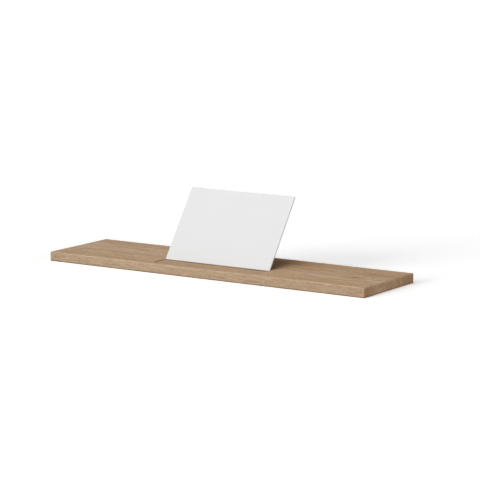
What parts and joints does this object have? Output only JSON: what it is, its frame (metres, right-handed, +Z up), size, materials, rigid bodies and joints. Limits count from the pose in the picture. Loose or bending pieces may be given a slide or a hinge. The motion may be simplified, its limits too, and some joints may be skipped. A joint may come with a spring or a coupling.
{
  "type": "bathtub shelf",
  "caption": "Flat oak bath shelf with eased edges, a shallow book ledge and a leaning white plate that lifts out of a slanted groove, on rubber grip strips.",
  "frame": {"origin": "middle of the footprint, on the surface that the grip strips rest on", "axes": "+X along the plank, +Y from its front edge to its back edge, +Z up"},
  "size_m": [0.78, 0.2, 0.1618],
  "materials": {
    "oak": "matt oiled oak",
    "white_coat": "matt white powder coat",
    "grip_rubber": "matt"
  },
  "bodies": {
    "plank": {"oak_stave_1": "oak", "oak_stave_2": "oak", "oak_stave_3": "oak", "oak_stave_4": "oak", "grip_strip_front_left": "grip_rubber", "grip_strip_front_right": "grip_rubber", "grip_strip_back_left": "grip_rubber", "grip_strip_back_right": "grip_rubber"},
    "book_rest": {"book_rest_plate": "white_coat"}
  },
  "joints": [
    {"name": "book_rest_lift", "type": "slide", "parent": "plank", "child": "book_rest", "axis": [0, 0.5736, 0.8192], "range_m": [0, 0.03]}
  ]
}
